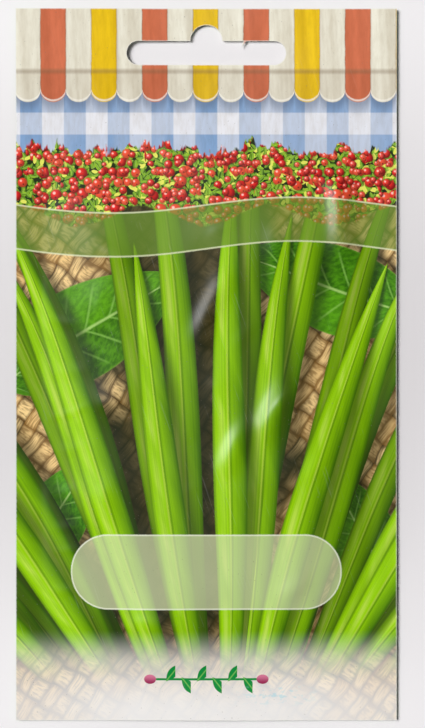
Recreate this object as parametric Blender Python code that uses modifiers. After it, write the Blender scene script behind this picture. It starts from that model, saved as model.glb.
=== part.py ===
"""Filled seed packet lying face up on a surface, its header towards +Y.

Two sheets of laminated paper are sealed together along all four edges, and one hanging slot is cut
through both in the header. Bean seeds lie in one layer on the back sheet, which sags to the surface
between the seals, and the front sheet drapes over the seeds. The origin is on the surface, under the
middle of the packet.
"""

import math
import random

import bmesh
import bpy
import numpy as np
from mathutils import Euler, Vector

MM = 0.001
WELD_DISTANCE = 0.001 * MM

# The packet as it is cut
PACKET_WIDTH = 76.5 * MM
PACKET_HEIGHT = 143.0 * MM
SHEET_THICKNESS = 0.15 * MM

# Sealed borders, measured in from the cut edges, and the gap that stands for the sealing layer
SIDE_SEAL = 6.0 * MM
BOTTOM_SEAL = 9.0 * MM
HEADER_HEIGHT = 24.0 * MM
SEAL_GAP = 0.3 * MM
SEAL_HEIGHT = 1.6 * MM
POUCH_CORNER = 9.0 * MM
BACK_SLOPE = 9.0 * MM

# Hanging slot of the standard 32 mm kind: a long slot with a half-round bump over its middle
SLOT_LENGTH = 32.0 * MM
SLOT_WIDTH = 4.8 * MM
SLOT_TOP_MARGIN = 6.5 * MM
SLOT_BUMP_RADIUS = 3.2 * MM
SLOT_ARC_STEPS = 10

# Bean seeds
SEED_COUNT = 18
SEED_LENGTH = 12.4 * MM
SEED_WIDTH = 6.8 * MM
SEED_THICKNESS = 5.2 * MM
SEED_BEND = 0.9 * MM
SEED_BEND_MIDDLE = 0.5
SEED_HILUM_DENT = 0.35 * MM
SEED_HILUM_FADE = 9.0
SEED_TAPER = 0.06
SEED_SIZE_SPREAD = 0.06
SEED_ROLL = math.radians(14)
SEED_SIDES = 12
SEED_RINGS = 8
SEED_CLEARANCE = 0.3 * MM
SEED_SPACING = 0.9 * MM
SEED_EDGE_MARGIN = 5.5 * MM
SEED_TOP_MARGIN = 12.0 * MM
SEED_SETTLING = 1.2
SEED_RANDOM = 23

# How the front sheet lies: how strongly it sags between its supports, and how finely it is worked out
DRAPE_SAG = 0.012 / MM
DRAPE_STEPS = 2500
DRAPE_REACH = 0.75
DRAPE_SAMPLES = 7
FRONT_COLUMNS = 34
FRONT_ROWS = 64
BACK_COLUMNS = 24
BACK_ROWS = 44

HALF_WIDTH = PACKET_WIDTH / 2
HALF_HEIGHT = PACKET_HEIGHT / 2
POUCH_HALF_WIDTH = HALF_WIDTH - SIDE_SEAL
POUCH_TOP = HALF_HEIGHT - HEADER_HEIGHT
POUCH_BOTTOM = BOTTOM_SEAL - HALF_HEIGHT
SLOT_MIDDLE = HALF_HEIGHT - SLOT_TOP_MARGIN - SLOT_WIDTH / 2
BACK_OUTER_AT_SEAL = SEAL_HEIGHT - SEAL_GAP / 2 - SHEET_THICKNESS
FRONT_INNER_AT_SEAL = SEAL_HEIGHT + SEAL_GAP / 2


def clear_scene():
    for thing in list(bpy.data.objects):
        bpy.data.objects.remove(thing)


def new_collection(name):
    made = bpy.data.collections.new(name)
    bpy.context.scene.collection.children.link(made)
    return made


def new_material(name, colour, roughness):
    made = bpy.data.materials.new(name)
    made.use_nodes = True
    shader = made.node_tree.nodes["Principled BSDF"]
    shader.inputs["Base Color"].default_value = (*colour, 1.0)
    shader.inputs["Roughness"].default_value = roughness
    shader.inputs["Metallic"].default_value = 0.0
    return made


def place_in(collection, thing):
    for other in thing.users_collection:
        other.objects.unlink(thing)
    collection.objects.link(thing)


def smooth_step(value):
    clamped = np.clip(value, 0.0, 1.0)
    return clamped * clamped * (3.0 - 2.0 * clamped)


def depth_in_pouch(x, y):
    """How far a point lies inside the sealed border, negative on the seal."""
    middle = (POUCH_TOP + POUCH_BOTTOM) / 2
    half_height = (POUCH_TOP - POUCH_BOTTOM) / 2
    across = np.abs(x) - (POUCH_HALF_WIDTH - POUCH_CORNER)
    along = np.abs(y - middle) - (half_height - POUCH_CORNER)
    outside = np.hypot(np.maximum(across, 0.0), np.maximum(along, 0.0))
    inside = np.minimum(np.maximum(across, along), 0.0)
    return POUCH_CORNER - outside - inside


def back_height(x, y):
    """Height of the back sheet's underside: on the surface in the middle, raised at the seals."""
    return BACK_OUTER_AT_SEAL * (1.0 - smooth_step(depth_in_pouch(x, y) / BACK_SLOPE))


def make_seed_mesh():
    """Kidney-shaped bean about its own middle, long in X and thick in Z, with the hilum facing +Y."""
    shape = bmesh.new()
    bmesh.ops.create_uvsphere(shape, u_segments=SEED_SIDES, v_segments=SEED_RINGS, radius=1.0)
    for vertex in shape.verts:
        along, across, up = vertex.co.z, vertex.co.x, vertex.co.y
        curve = SEED_BEND * (along * along - SEED_BEND_MIDDLE)
        dent = SEED_HILUM_DENT * max(0.0, across) * math.exp(-SEED_HILUM_FADE * along * along)
        taper = 1.0 - SEED_TAPER * along
        vertex.co = Vector(
            (
                along * SEED_LENGTH / 2,
                across * SEED_WIDTH / 2 * taper + curve - dent,
                up * SEED_THICKNESS / 2 * taper,
            )
        )
    bmesh.ops.recalc_face_normals(shape, faces=shape.faces)
    mesh = bpy.data.meshes.new("bean_seed")
    shape.to_mesh(mesh)
    shape.free()
    mesh.shade_smooth()
    return mesh


def discs_of(x, y, yaw, size):
    """Three discs along a seed that cover it in plan, as centres and a radius."""
    reach = size * (SEED_LENGTH - SEED_WIDTH) / 2
    step = Vector((math.cos(yaw), math.sin(yaw))) * reach
    middle = Vector((x, y))
    return [middle - step, middle, middle + step], size * SEED_WIDTH / 2


def seed_places():
    """Seeds thrown in at random, one layer deep, a little closer together towards the packet's foot."""
    draw = random.Random(SEED_RANDOM)
    low, high = POUCH_BOTTOM + SEED_EDGE_MARGIN, POUCH_TOP - SEED_TOP_MARGIN
    side = POUCH_HALF_WIDTH - SEED_EDGE_MARGIN
    taken, places = [], []
    while len(places) < SEED_COUNT:
        x = draw.uniform(-side, side)
        y = low + (high - low) * draw.random() ** SEED_SETTLING
        yaw = draw.uniform(0.0, math.tau)
        roll = draw.uniform(-SEED_ROLL, SEED_ROLL)
        size = 1.0 + draw.uniform(-SEED_SIZE_SPREAD, SEED_SIZE_SPREAD)
        centres, radius = discs_of(x, y, yaw, size)
        inside = all(
            abs(centre.x) + radius < side and low + radius < centre.y < high - radius
            for centre in centres
        )
        apart = all(
            (centre - other).length > radius + other_radius + SEED_SPACING
            for centre in centres
            for other, other_radius in taken
        )
        if inside and apart:
            places.append((x, y, yaw, roll, size))
            taken.extend((centre, radius) for centre in centres)
    return places


def resting_height(mesh, turn, x, y, size):
    """Height at which the seed's middle stands when it just clears the back sheet."""
    height = 0.0
    for vertex in mesh.vertices:
        point = turn @ (vertex.co * size)
        floor = float(back_height(x + point.x, y + point.y)) + SHEET_THICKNESS + SEED_CLEARANCE
        height = max(height, floor - point.z)
    return height


def make_seeds(collection, material):
    mesh = make_seed_mesh()
    mesh.materials.append(material)
    seeds = []
    for number, (x, y, yaw, roll, size) in enumerate(seed_places(), start=1):
        turn = Euler((roll, 0.0, yaw)).to_matrix()
        seed = bpy.data.objects.new(f"bean_seed_{number:02d}", mesh)
        seed.location = (x, y, resting_height(mesh, turn, x, y, size))
        seed.rotation_euler = (roll, 0.0, yaw)
        seed.scale = (size, size, size)
        collection.objects.link(seed)
        seeds.append(seed)
    return seeds


def seed_top(seed, x, y):
    """Height that the front sheet has to clear over one seed, as a rounded ridge along the seed."""
    size = seed.scale[0]
    roll, yaw = seed.rotation_euler[0], seed.rotation_euler[2]
    reach = size * (SEED_LENGTH - SEED_WIDTH) / 2
    dx, dy = x - seed.location[0], y - seed.location[1]
    along = dx * math.cos(yaw) + dy * math.sin(yaw)
    across = dy * math.cos(yaw) - dx * math.sin(yaw)
    distance = np.hypot(along - np.clip(along, -reach, reach), across)
    radius = size * SEED_WIDTH / 2 + SEED_CLEARANCE + SEED_BEND / 2
    half_depth = math.hypot(SEED_THICKNESS / 2 * math.cos(roll), SEED_WIDTH / 2 * math.sin(roll))
    ridge = np.sqrt(np.maximum(0.0, 1.0 - (distance / radius) ** 2))
    cleared = seed.location[2] + (size * half_depth + SEED_CLEARANCE) * ridge
    return np.where(distance < radius, cleared, 0.0)


def drape_front(seeds):
    """Heights of the front sheet's inner face at the grid's points.

    It is a stretched skin that is held at the seals, sags a little, and is pushed up by the seeds.
    """
    x = np.linspace(-HALF_WIDTH, HALF_WIDTH, FRONT_COLUMNS + 1)
    y = np.linspace(-HALF_HEIGHT, HALF_HEIGHT, FRONT_ROWS + 1)
    grid_x, grid_y = np.meshgrid(x, y, indexing="ij")
    cell = PACKET_WIDTH / FRONT_COLUMNS
    obstacle = back_height(grid_x, grid_y) + SHEET_THICKNESS + SEAL_GAP
    for offset_x in np.linspace(-DRAPE_REACH, DRAPE_REACH, DRAPE_SAMPLES) * cell:
        for offset_y in np.linspace(-DRAPE_REACH, DRAPE_REACH, DRAPE_SAMPLES) * cell:
            for seed in seeds:
                obstacle = np.maximum(obstacle, seed_top(seed, grid_x + offset_x, grid_y + offset_y))
    held = depth_in_pouch(grid_x, grid_y) <= 0.0
    height = np.full_like(grid_x, FRONT_INNER_AT_SEAL)
    sag = DRAPE_SAG * cell * cell / 4
    for _ in range(DRAPE_STEPS):
        mean = np.full_like(height, FRONT_INNER_AT_SEAL)
        mean[1:-1, 1:-1] = (height[2:, 1:-1] + height[:-2, 1:-1] + height[1:-1, 2:] + height[1:-1, :-2]) / 4
        height = np.where(held, FRONT_INNER_AT_SEAL, np.maximum(mean - sag, obstacle))
    return height


def make_slot_cutter(collection):
    """Closed solid of the slot's outline, through both sheets of the header."""
    end = SLOT_WIDTH / 2
    straight = SLOT_LENGTH / 2 - end
    top = SLOT_MIDDLE + end
    corners = [
        (-straight, SLOT_MIDDLE, end, 0.5),
        (straight, SLOT_MIDDLE, end, -0.5),
        (0.0, top, SLOT_BUMP_RADIUS, 0.0),
    ]
    points = []
    for middle_x, middle_y, radius, first_half_turn in corners:
        for step in range(SLOT_ARC_STEPS + 1):
            angle = math.pi * (first_half_turn + step / SLOT_ARC_STEPS)
            points.append((middle_x + radius * math.cos(angle), middle_y + radius * math.sin(angle), 0.0))
    outline = bpy.data.curves.new("slot_outline", "CURVE")
    outline.dimensions = "2D"
    outline.fill_mode = "BOTH"
    outline.extrude = SEAL_HEIGHT * 2
    spline = outline.splines.new("POLY")
    spline.points.add(len(points) - 1)
    for point, place in zip(spline.points, points):
        point.co = (*place, 1.0)
    spline.use_cyclic_u = True
    guide = bpy.data.objects.new("slot_guide", outline)
    collection.objects.link(guide)
    bpy.context.view_layer.update()
    graph = bpy.context.evaluated_depsgraph_get()
    mesh = bpy.data.meshes.new_from_object(guide.evaluated_get(graph))
    shape = bmesh.new()
    shape.from_mesh(mesh)
    bmesh.ops.remove_doubles(shape, verts=shape.verts, dist=WELD_DISTANCE)
    bmesh.ops.recalc_face_normals(shape, faces=shape.faces)
    shape.to_mesh(mesh)
    shape.free()
    cutter = bpy.data.objects.new("slot_cutter", mesh)
    cutter.location.z = SEAL_HEIGHT
    cutter.hide_render = True
    cutter.display_type = "WIRE"
    collection.objects.link(cutter)
    bpy.data.objects.remove(guide)
    return cutter


def make_sheet(name, columns, rows, height_at, material, cutter, collection):
    """One sheet: a grid raised to its heights, thickened upwards, with the slot cut through it."""
    bpy.ops.mesh.primitive_grid_add(x_subdivisions=columns, y_subdivisions=rows, size=1.0)
    sheet = bpy.context.object
    sheet.name = name
    place_in(collection, sheet)
    for vertex in sheet.data.vertices:
        x, y = vertex.co.x * PACKET_WIDTH, vertex.co.y * PACKET_HEIGHT
        vertex.co = (x, y, height_at(x, y))
    sheet.data.materials.append(material)
    wall = sheet.modifiers.new("paper_thickness", "SOLIDIFY")
    wall.thickness = SHEET_THICKNESS
    wall.offset = 1.0
    cut = sheet.modifiers.new("hanging_slot", "BOOLEAN")
    cut.operation = "DIFFERENCE"
    cut.object = cutter
    return sheet


def make_front_panel(seeds, material, cutter, collection):
    heights = drape_front(seeds)

    def height_at(x, y):
        column = round((x + HALF_WIDTH) / PACKET_WIDTH * FRONT_COLUMNS)
        row = round((y + HALF_HEIGHT) / PACKET_HEIGHT * FRONT_ROWS)
        return float(heights[column, row])

    return make_sheet("front_panel", FRONT_COLUMNS, FRONT_ROWS, height_at, material, cutter, collection)


def make_back_panel(material, cutter, collection):
    def height_at(x, y):
        return float(back_height(x, y))

    return make_sheet("back_panel", BACK_COLUMNS, BACK_ROWS, height_at, material, cutter, collection)


def main():
    clear_scene()
    packet = new_collection("seed_packet")
    cutters = new_collection("cutters")
    front_print = new_material("front_print", (0.27, 0.48, 0.09), 0.32)
    back_print = new_material("back_print", (0.83, 0.85, 0.77), 0.42)
    seed_coat = new_material("bean_coat", (0.78, 0.70, 0.55), 0.38)
    cutter = make_slot_cutter(cutters)
    seeds = make_seeds(packet, seed_coat)
    make_front_panel(seeds, front_print, cutter, packet)
    make_back_panel(back_print, cutter, packet)


main()
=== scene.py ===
"""Looks of a filled seed packet that lies face up: a glossy printed front over loose bean seeds, a plain
printed back, and the pale bed that it lies on, seen from straight above."""

import math
import random

import bmesh
import bpy
import numpy as np
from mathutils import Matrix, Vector
from mathutils.bvhtree import BVHTree


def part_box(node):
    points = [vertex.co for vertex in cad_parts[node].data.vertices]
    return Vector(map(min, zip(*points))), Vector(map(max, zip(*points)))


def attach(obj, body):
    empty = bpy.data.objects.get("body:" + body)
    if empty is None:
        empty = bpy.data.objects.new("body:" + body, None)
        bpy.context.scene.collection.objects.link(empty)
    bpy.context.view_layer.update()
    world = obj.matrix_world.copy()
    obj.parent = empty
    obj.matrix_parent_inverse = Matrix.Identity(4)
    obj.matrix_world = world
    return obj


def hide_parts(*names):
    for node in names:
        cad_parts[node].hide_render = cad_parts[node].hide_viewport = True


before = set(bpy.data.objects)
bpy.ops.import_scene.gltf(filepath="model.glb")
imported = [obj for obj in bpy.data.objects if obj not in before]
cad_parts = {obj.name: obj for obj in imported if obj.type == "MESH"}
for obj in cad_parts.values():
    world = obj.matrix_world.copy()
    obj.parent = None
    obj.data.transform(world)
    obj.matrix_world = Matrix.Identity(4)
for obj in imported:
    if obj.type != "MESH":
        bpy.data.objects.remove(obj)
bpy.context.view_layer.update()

MM = 0.001

# The packet, from the frame
FRONT_LOW, FRONT_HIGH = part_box("front_panel")
HALF_WIDTH = (FRONT_HIGH.x - FRONT_LOW.x) / 2
HALF_HEIGHT = (FRONT_HIGH.y - FRONT_LOW.y) / 2
SHEET = 0.15 * MM
SEAL_GAP_CLOSED = 0.03 * MM

# Sealed borders and the hanging slot, as on the solids
SIDE_SEAL = 6.0 * MM
BOTTOM_SEAL = 9.0 * MM
HEADER = 24.0 * MM
POUCH_CORNER = 9.0 * MM
SLOT_LENGTH = 32.0 * MM
SLOT_WIDTH = 4.8 * MM
SLOT_TOP_MARGIN = 6.5 * MM
SLOT_MIDDLE = HALF_HEIGHT - SLOT_TOP_MARGIN - SLOT_WIDTH / 2
SLOT_BUMP_RADIUS = 3.2 * MM
SLOT_ARC_STEPS = 24
CUTTER_FOOT = -4.0 * MM
CUTTER_DEPTH = 12.0 * MM
SEAL_PROBE = 4.0 * MM

# Heights that rays are cast from, under and over the whole packet
UNDER_ALL = -0.01
OVER_ALL = 0.02

# Fineness of the sheets and of the way that the front one drapes
FRONT_CELL = 0.55 * MM
BACK_CELL = 0.8 * MM
DRAPE_STEPS = 260
DRAPE_SAG = 0.010 / MM
SEED_CLEARANCE = 0.22 * MM
SEED_ROUNDING = 2
WELD = 0.001 * MM
HILUM_HALF_LENGTH = 1.5 * MM
STIFFNESS_ROUNDS = 5
STIFFNESS_PASSES = 7
CREASE_PASSES = 4
BACK_PASSES = 3
BACK_EASE = 0.02 * MM
BACK_FLAT_FADE = 0.4 * MM
PRINTED_FACING = 0.5
SHARP_EDGE = math.radians(40)

# Waviness of the paper: the number that its waves are drawn from and its height, and how far in from the seal
# it fades
POUCH_WAVE = (5, 0.18 * MM)
POUCH_WAVE_FADE = 3.0 * MM
FINE_WAVE = (12, 0.20 * MM)
FINE_WAVE_FADE = 2.0 * MM
SLOW_WAVE = (124, 0.95 * MM, 30.0, 90.0)
SLOW_WAVE_FADE = 4.0 * MM
WAVES = 14

# Small folds that run in from the seals, in millimetres: the first one's place and the step to the next
FOLD_RANDOM = 41
SIDE_FOLDS = 13
SIDE_FOLD_ACROSS = 29.0
SIDE_FOLD_FIRST = -54.0
SIDE_FOLD_STEP = 7.6
END_FOLDS = 9
END_FOLD_ROWS = ((-60.0, 6.0), (43.0, 9.0))
END_FOLD_FIRST = -26.0
END_FOLD_STEP = 6.5

# Folds of the full front: middle across and along, angle in radians, half length, half width and height,
# all else in millimetres
CREASES = [
    (0.9, 11.2, 1.14, 9.0, 3.00, 0.92),
    (7.6, 6.0, 0.95, 3.4, 1.20, 0.34),
    (5.4, -16.8, 1.14, 7.0, 3.00, 1.08),
    (13.8, -9.2, 1.13, 8.4, 3.60, 1.36),
    (27.0, 29.4, 1.66, 10.0, 3.80, 1.90),
    (-25.6, -69.7, 0.75, 2.4, 0.90, 0.30),
]

# Whisker of paper left at the slot's upper side: its corners across from the middle and up from that side
WHISKER = ((8.05, 0.0), (7.1, -1.25), (7.45, 0.0))

# Stretches of the front print, from the lowest edge up, in millimetres along the packet
FOOT_TOP = -53.0
HEADER_FOOT = 38.0

# Awning and garland of the header, in millimetres. A foliage layer gives its spacing and shift, and a berry
# layer its colour, the share of places with a berry, and its spacing, size and shift
AWNING_FOOT = 55.0
AWNING_FOLD = 58.9
STRIPE_WIDTH = 5.1
SCALLOP_DEPTH = 2.3
CHECK_SQUARE = 4.4
GARLAND_TOP = 40.2
GARLAND_FOOT = 32.4
GARLAND_SAG = 4.2
GARLAND_RAGGED = 9.0
SWAG_LENGTH = 25.5
FOLIAGE_LAYERS = ((1.7, 3.1), (1.5, 7.7), (1.25, 13.3))
BERRY_LAYERS = (
    ((236, 40, 34), 0.52, 2.5, 0.46, 2.3),
    ((244, 62, 50), 0.46, 1.9, 0.48, 9.1),
    ((246, 84, 74), 0.30, 1.5, 0.46, 5.7),
)

# Strap leaves, lowest layer first: angle from leaf to leaf in radians, shift, reach, half width and light
LEAF_FANS = [
    (0.170, 0.30, 128.0, 3.2, 0.55),
    (0.205, 0.85, 132.0, 3.6, 0.80),
    (0.190, 0.10, 126.0, 3.7, 0.95),
    (0.250, 0.55, 118.0, 3.8, 1.00),
]
FAN_ACROSS = 3.0
FAN_ALONG = -104.0
FAN_ROOT = 36.0

# Broad leaves: root across and along, lean in degrees, length, half width and tone
BROAD_LEAVES = [
    (-41.0, -4.0, 58.0, 42.0, 15.0, 0.2),
    (42.0, 10.0, -72.0, 38.0, 14.0, 0.6),
    (-38.0, -44.0, 30.0, 30.0, 11.0, 0.8),
    (39.0, -46.0, -32.0, 29.0, 11.0, 0.3),
]
LEAF_SHADOW = (24, 32, 14)
STRAW_TURN = 0.62
STRAW_STRAND = 2.7

# Bare ribbon and label, and the sprig, in millimetres
RIBBON_MIDDLE = 27.5
RIBBON_HALF = 4.4
RIBBON_WAVE = 1.6
LABEL_MIDDLE = -41.5
LABEL_HALF_WIDTH = 27.0
LABEL_HALF_HEIGHT = 7.4
LABEL_CORNER = 7.3
SPRIG_ALONG = -63.2
SPRIG_STEP = 3.1
SPRIG_LEAN = math.radians(38)
SPRIG_LEAF_LENGTH = 4.6
SPRIG_LEAF_HALF_WIDTH = 0.95
SPRIG_REACH = 9.3

# Back print, in millimetres
BACK_BORDER = 34.7
BACK_LINE = 33.4
MONTH_STEP = 4.7
MONTHS_ALONG = 27.0
MONTH_HALF_WIDTH = 2.05
MONTH_HALF_HEIGHT = 2.6
MONTH_CORNER = 0.6
ROW_STEP = 3.1
ROWS_LEFT = -28.0
ROWS_HALF_HEIGHT = 19.9
PANEL_ACROSS = 14.4
PANEL_ALONG = -40.0
PANEL_HALF_WIDTH = 13.4
PANEL_HALF_HEIGHT = 14.0
PANEL_CORNER = 1.8
BACK_SPRIG_ALONG = 38.0

# Gloss of the front's coat: weaker on the left, where the light would haze the dark print
COAT_LEFT = 0.03
COAT_RIGHT = 0.28

# Bluish smudge on the foot, in millimetres
SMUDGE_ACROSS = 14.0
SMUDGE_ALONG = -66.4

# Bed, lights and the scanner-like view
BED_HALF_SIZE = 1.2
BED_DROP = 0.02 * MM
ROOM_LIGHT = 0.11
KEY_PLACE = (-0.27, 0.08, 0.72)
KEY_LIGHT = 3.0
KEY_ANGLE = math.radians(20)
GLINT_PLACE = (-0.42, 0.19, 0.60)
GLINT_LIGHT = 11.6
GLINT_SIZE = (0.20, 0.26)
PHOTO_WIDTH_PX = 425
PHOTO_HEIGHT_PX = 728
PIXEL = 0.2009 * MM
PACKET_MIDDLE_PX = (206.3, 364.5)
LENS_MM = 150.0
SENSOR_MM = 36.0


# Arithmetic in node trees


class Field:
    """A value over a surface: one socket of a node tree, with plain arithmetic."""

    def __init__(self, tree, socket):
        self.tree = tree
        self.socket = socket

    def apply(self, operation, *others):
        node = self.tree.nodes.new("ShaderNodeMath")
        node.operation = operation
        for entry, value in zip(node.inputs, (self, *others)):
            feed(entry, value)
        return Field(self.tree, node.outputs[0])

    def __add__(self, other):
        return self.apply("ADD", other)

    def __sub__(self, other):
        return self.apply("SUBTRACT", other)

    def __mul__(self, other):
        return self.apply("MULTIPLY", other)

    def __truediv__(self, other):
        return self.apply("DIVIDE", other)

    def __pow__(self, other):
        return self.apply("POWER", other)

    def __abs__(self):
        return self.apply("ABSOLUTE")

    def sine(self):
        return self.apply("SINE")

    def cosine(self):
        return self.apply("COSINE")

    def root(self):
        return self.apply("SQRT")

    def floor(self):
        return self.apply("FLOOR")

    def fraction(self):
        return self.apply("FRACT")

    def at_least(self, other):
        return self.apply("MAXIMUM", other)

    def at_most(self, other):
        return self.apply("MINIMUM", other)

    def inverse(self):
        """One minus the value."""
        return self * -1.0 + 1.0

    def odd(self):
        """One for an odd whole number, and zero for an even one."""
        return ((self * 0.5).fraction() * 2.0).floor()

    def ramp(self, start, end, low=0.0, high=1.0):
        """Smooth rise from low at start to high at end, level outside."""
        node = self.tree.nodes.new("ShaderNodeMapRange")
        node.interpolation_type = "SMOOTHSTEP"
        for entry, value in zip(node.inputs, (self, start, end, low, high)):
            feed(entry, value)
        return Field(self.tree, node.outputs["Result"])


def feed(entry, value):
    if isinstance(value, Field):
        value.tree.links.new(value.socket, entry)
    else:
        entry.default_value = value


def tree_under(*values):
    """Node tree of the first field among some values."""
    return next(value.tree for value in values if isinstance(value, Field))


def ink(red, green, blue):
    """Printed colour from its 0 to 255 values, as the shaders' linear one."""
    parts = []
    for value in (red, green, blue):
        share = value / 255
        parts.append(share / 12.92 if share <= 0.04045 else ((share + 0.055) / 1.055) ** 2.4)
    return (*parts, 1.0)


def mix(factor, below, above, blend="MIX"):
    node = tree_under(factor, below, above).nodes.new("ShaderNodeMix")
    node.data_type = "RGBA"
    node.blend_type = blend
    feed(node.inputs[0], factor)
    feed(node.inputs[6], below)
    feed(node.inputs[7], above)
    return Field(node.id_data, node.outputs[2])


def vector(x, y, z=0.0):
    node = tree_under(x, y, z).nodes.new("ShaderNodeCombineXYZ")
    for entry, value in zip(node.inputs, (x, y, z)):
        feed(entry, value)
    return Field(node.id_data, node.outputs[0])


def noise(place, scale, detail=2.0, roughness=0.5, dimensions="2D"):
    node = place.tree.nodes.new("ShaderNodeTexNoise")
    node.noise_dimensions = dimensions
    feed(node.inputs["W" if dimensions == "1D" else "Vector"], place)
    node.inputs["Scale"].default_value = scale
    node.inputs["Detail"].default_value = detail
    node.inputs["Roughness"].default_value = roughness
    return Field(place.tree, node.outputs[0])


def streaks(place, detail=1.0):
    """Noise along one value."""
    return noise(place, 1.0, detail, dimensions="1D")


def dice(number):
    """Chance value of a whole number, from zero to one."""
    node = number.tree.nodes.new("ShaderNodeTexWhiteNoise")
    node.noise_dimensions = "1D"
    feed(node.inputs["W"], number)
    return Field(number.tree, node.outputs["Value"])


def parts_of(place):
    node = place.tree.nodes.new("ShaderNodeSeparateXYZ")
    feed(node.inputs[0], place)
    return tuple(Field(place.tree, socket) for socket in node.outputs)


def object_place(tree):
    coordinates = tree.nodes.new("ShaderNodeTexCoord")
    return Field(tree, coordinates.outputs["Object"])


def scatter(x, y, randomness):
    """Scattered points: how far the place is from the nearest one, and that point's three chance values."""
    place = vector(x, y)
    node = place.tree.nodes.new("ShaderNodeTexVoronoi")
    node.voronoi_dimensions = "2D"
    feed(node.inputs["Vector"], place)
    node.inputs["Scale"].default_value = 1.0
    node.inputs["Randomness"].default_value = randomness
    place_x, place_y, _ = parts_of(place)
    point_x, point_y, _ = parts_of(Field(place.tree, node.outputs["Position"]))
    chances = parts_of(Field(place.tree, node.outputs["Color"]))
    return place_x - point_x, place_y - point_y, chances


def length_of(x, y):
    return (x * x + y * y).root()


def bell(value, width):
    """Soft peak of height one where the value is zero."""
    return (value / width).apply("POWER", 2.0).inverse().at_least(0.0) ** 2.0


class Group:
    """A shader node group under construction, with its inputs as fields."""

    def __init__(self, name, values=(), colours=()):
        self.tree = bpy.data.node_groups.new(name, "ShaderNodeTree")
        for kind, labels in (("NodeSocketColor", colours), ("NodeSocketFloat", values)):
            for label in labels:
                self.tree.interface.new_socket(label, in_out="INPUT", socket_type=kind)
        entry = self.tree.nodes.new("NodeGroupInput")
        self.inputs = {socket.name: Field(self.tree, socket) for socket in entry.outputs if socket.name}
        self.leaving = []

    def give(self, label, field, kind="NodeSocketColor"):
        self.tree.interface.new_socket(label, in_out="OUTPUT", socket_type=kind)
        self.leaving.append((label, field))

    def close(self):
        leave = self.tree.nodes.new("NodeGroupOutput")
        for label, field in self.leaving:
            self.tree.links.new(field.socket, leave.inputs[label])
        return self.tree


def place_group(tree, group, **values):
    """Puts a group in a tree with its own values; underscores in the keywords stand for spaces."""
    node = tree.nodes.new("ShaderNodeGroup")
    node.node_tree = group
    for label, value in values.items():
        feed(node.inputs[label.replace("_", " ")], value)
    return {socket.name: Field(tree, socket) for socket in node.outputs}


# Motifs of the front print, in millimetres across and along the packet


def print_over(group, inside, colour, shadow):
    """Gives the colour and the cover of a motif and its shadow over what was printed before it."""
    darkened = mix(shadow, group.inputs["Below"], ink(*LEAF_SHADOW))
    group.give("Colour", mix(inside, darkened, colour))
    group.give("Cover", group.inputs["Cover"].at_least(shadow).at_least(inside), "NodeSocketFloat")


def leaf_fan_group():
    """Layer of long folded leaves fanned up from under the foot, each with a midrib and a soft shadow."""
    group = Group(
        "leaf_fan",
        ("Across", "Along", "Spread", "Shift", "Reach", "Half Width", "Light", "Cover"),
        ("Below",),
    )
    given = group.inputs
    across = given["Across"] - FAN_ACROSS
    along = given["Along"] - FAN_ALONG
    radius = length_of(across, along)
    angle = across.apply("ARCTAN2", along) * ((radius / 110.0) ** 2.0 * -0.14 + 1.1)
    place = angle / given["Spread"] + given["Shift"]
    number = place.floor()
    chance = dice(number + given["Shift"] * 5.3)
    other_chance = dice(number + given["Shift"] * 9.1 + 40.0)
    wave = (radius * 0.045 + chance * 6.0).sine() * 1.1
    sideways = (place.fraction() - 0.5 - (chance - 0.5) * 0.3) * given["Spread"] * radius - wave
    forward = (radius - FAN_ROOT) / (given["Reach"] * (other_chance * 0.34 + 0.74))
    taper = (forward.at_least(0.0) ** 3.4).inverse()
    width = given["Half Width"] * forward.ramp(-0.1, 0.45, 0.5, 1.0) * taper
    off = sideways / width.at_least(0.02)
    span = forward.ramp(0.0, 0.02) * forward.ramp(1.0, 0.985)
    shadow = abs(off - 0.4).ramp(1.8, 0.75) * span
    grain = streaks(forward * 8.0 + chance * 31.0 + off * 0.7, 2.0)
    fine = streaks(off * 11.0 + forward * 3.0 + chance * 17.0)
    lit = off.ramp(1.15, -0.35, 0.0, 1.0) * 0.8 + grain * 0.35 - 0.05
    colour = mix(lit, ink(48, 96, 0), ink(158, 218, 0))
    colour = mix(other_chance * 0.5, colour, ink(196, 204, 10), "SOFT_LIGHT")
    colour = mix(bell(off + 0.42, 0.30) * grain.ramp(0.35, 0.75, 0.05, 0.7), colour, ink(206, 232, 96))
    colour = mix(bell(off - 0.07, 0.12) * 0.5, colour, ink(40, 84, 0))
    colour = mix(bell(off + 0.04, 0.09) * 0.6, colour, ink(196, 222, 80))
    colour = mix(fine.ramp(0.35, 0.75, 0.0, 0.22), colour, ink(60, 112, 0))
    colour = mix(abs(off).ramp(0.70, 1.0, 0.0, 0.7), colour, ink(44, 82, 2))
    colour = mix(given["Light"].inverse(), colour, ink(30, 50, 2))
    print_over(group, abs(off).ramp(1.0, 0.93) * span, colour, shadow * 0.7)
    return group.close()


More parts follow.
